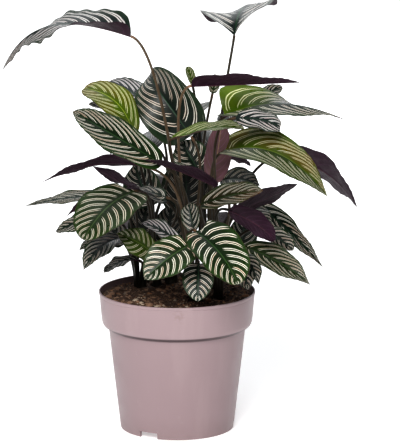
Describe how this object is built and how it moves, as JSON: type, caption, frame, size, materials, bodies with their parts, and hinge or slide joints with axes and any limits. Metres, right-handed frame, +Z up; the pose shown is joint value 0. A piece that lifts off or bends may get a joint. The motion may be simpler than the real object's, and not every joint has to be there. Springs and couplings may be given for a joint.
{
  "type": "potted calathea",
  "caption": "Leafy calathea with upright and drooping oval leaves on thin stalks, in a tapered round nursery pot with soil.",
  "frame": {"origin": "on the ground under the middle of the pot, which is the middle of the plant's outline too", "axes": "+Z up along the pot's axis; -Y is the side that the picture shows; +X to its right"},
  "size_m": [0.4271, 0.325, 0.5206],
  "materials": {
    "pot_plastic": "satin, moulded",
    "soil": "crumbly, dull; stands in for peat compost",
    "stalk": "smooth; stands in for a fleshy stalk",
    "leaf_dark": "semi-gloss with fine pale stripes; stands in for a leaf",
    "leaf_young": "semi-gloss with fine pale stripes; stands in for a young leaf"
  },
  "bodies": {
    "root": {"pot": "pot_plastic", "soil": "soil", "stalks_middle": "stalk", "stalks_front": "stalk", "stalks_left": "stalk", "stalks_back_left": "stalk", "stalks_right": "stalk", "stalks_back_right": "stalk", "stalks_back": "stalk", "leaf_01": "leaf_dark", "leaf_02": "leaf_dark", "leaf_03": "leaf_dark", "leaf_04": "leaf_dark", "leaf_05": "leaf_dark", "leaf_06": "leaf_young", "leaf_07": "leaf_dark", "leaf_08": "leaf_dark", "leaf_09": "leaf_young", "leaf_10": "leaf_dark", "leaf_11": "leaf_dark", "leaf_12": "leaf_dark", "leaf_13": "leaf_dark", "leaf_14": "leaf_dark", "leaf_15": "leaf_dark", "leaf_16": "leaf_young", "leaf_17": "leaf_dark", "leaf_18": "leaf_dark", "leaf_19": "leaf_dark", "leaf_20": "leaf_dark", "leaf_21": "leaf_dark", "leaf_22": "leaf_dark", "leaf_23": "leaf_dark", "leaf_24": "leaf_dark", "leaf_25": "leaf_dark", "leaf_26": "leaf_dark", "leaf_27": "leaf_dark", "leaf_28": "leaf_dark", "leaf_29": "leaf_dark", "leaf_30": "leaf_dark", "leaf_31": "leaf_dark", "leaf_32": "leaf_dark", "leaf_33": "leaf_young", "leaf_34": "leaf_dark", "leaf_35": "leaf_dark", "leaf_36": "leaf_dark", "leaf_37": "leaf_young", "leaf_38": "leaf_dark", "leaf_39": "leaf_dark", "leaf_40": "leaf_dark", "leaf_41": "leaf_dark", "leaf_42": "leaf_young", "leaf_43": "leaf_dark", "leaf_44": "leaf_dark", "leaf_45": "leaf_dark", "leaf_46": "leaf_dark", "leaf_47": "leaf_dark", "leaf_48": "leaf_dark", "leaf_49": "leaf_dark", "leaf_50": "leaf_dark", "leaf_51": "leaf_dark"}
  },
  "joints": []
}
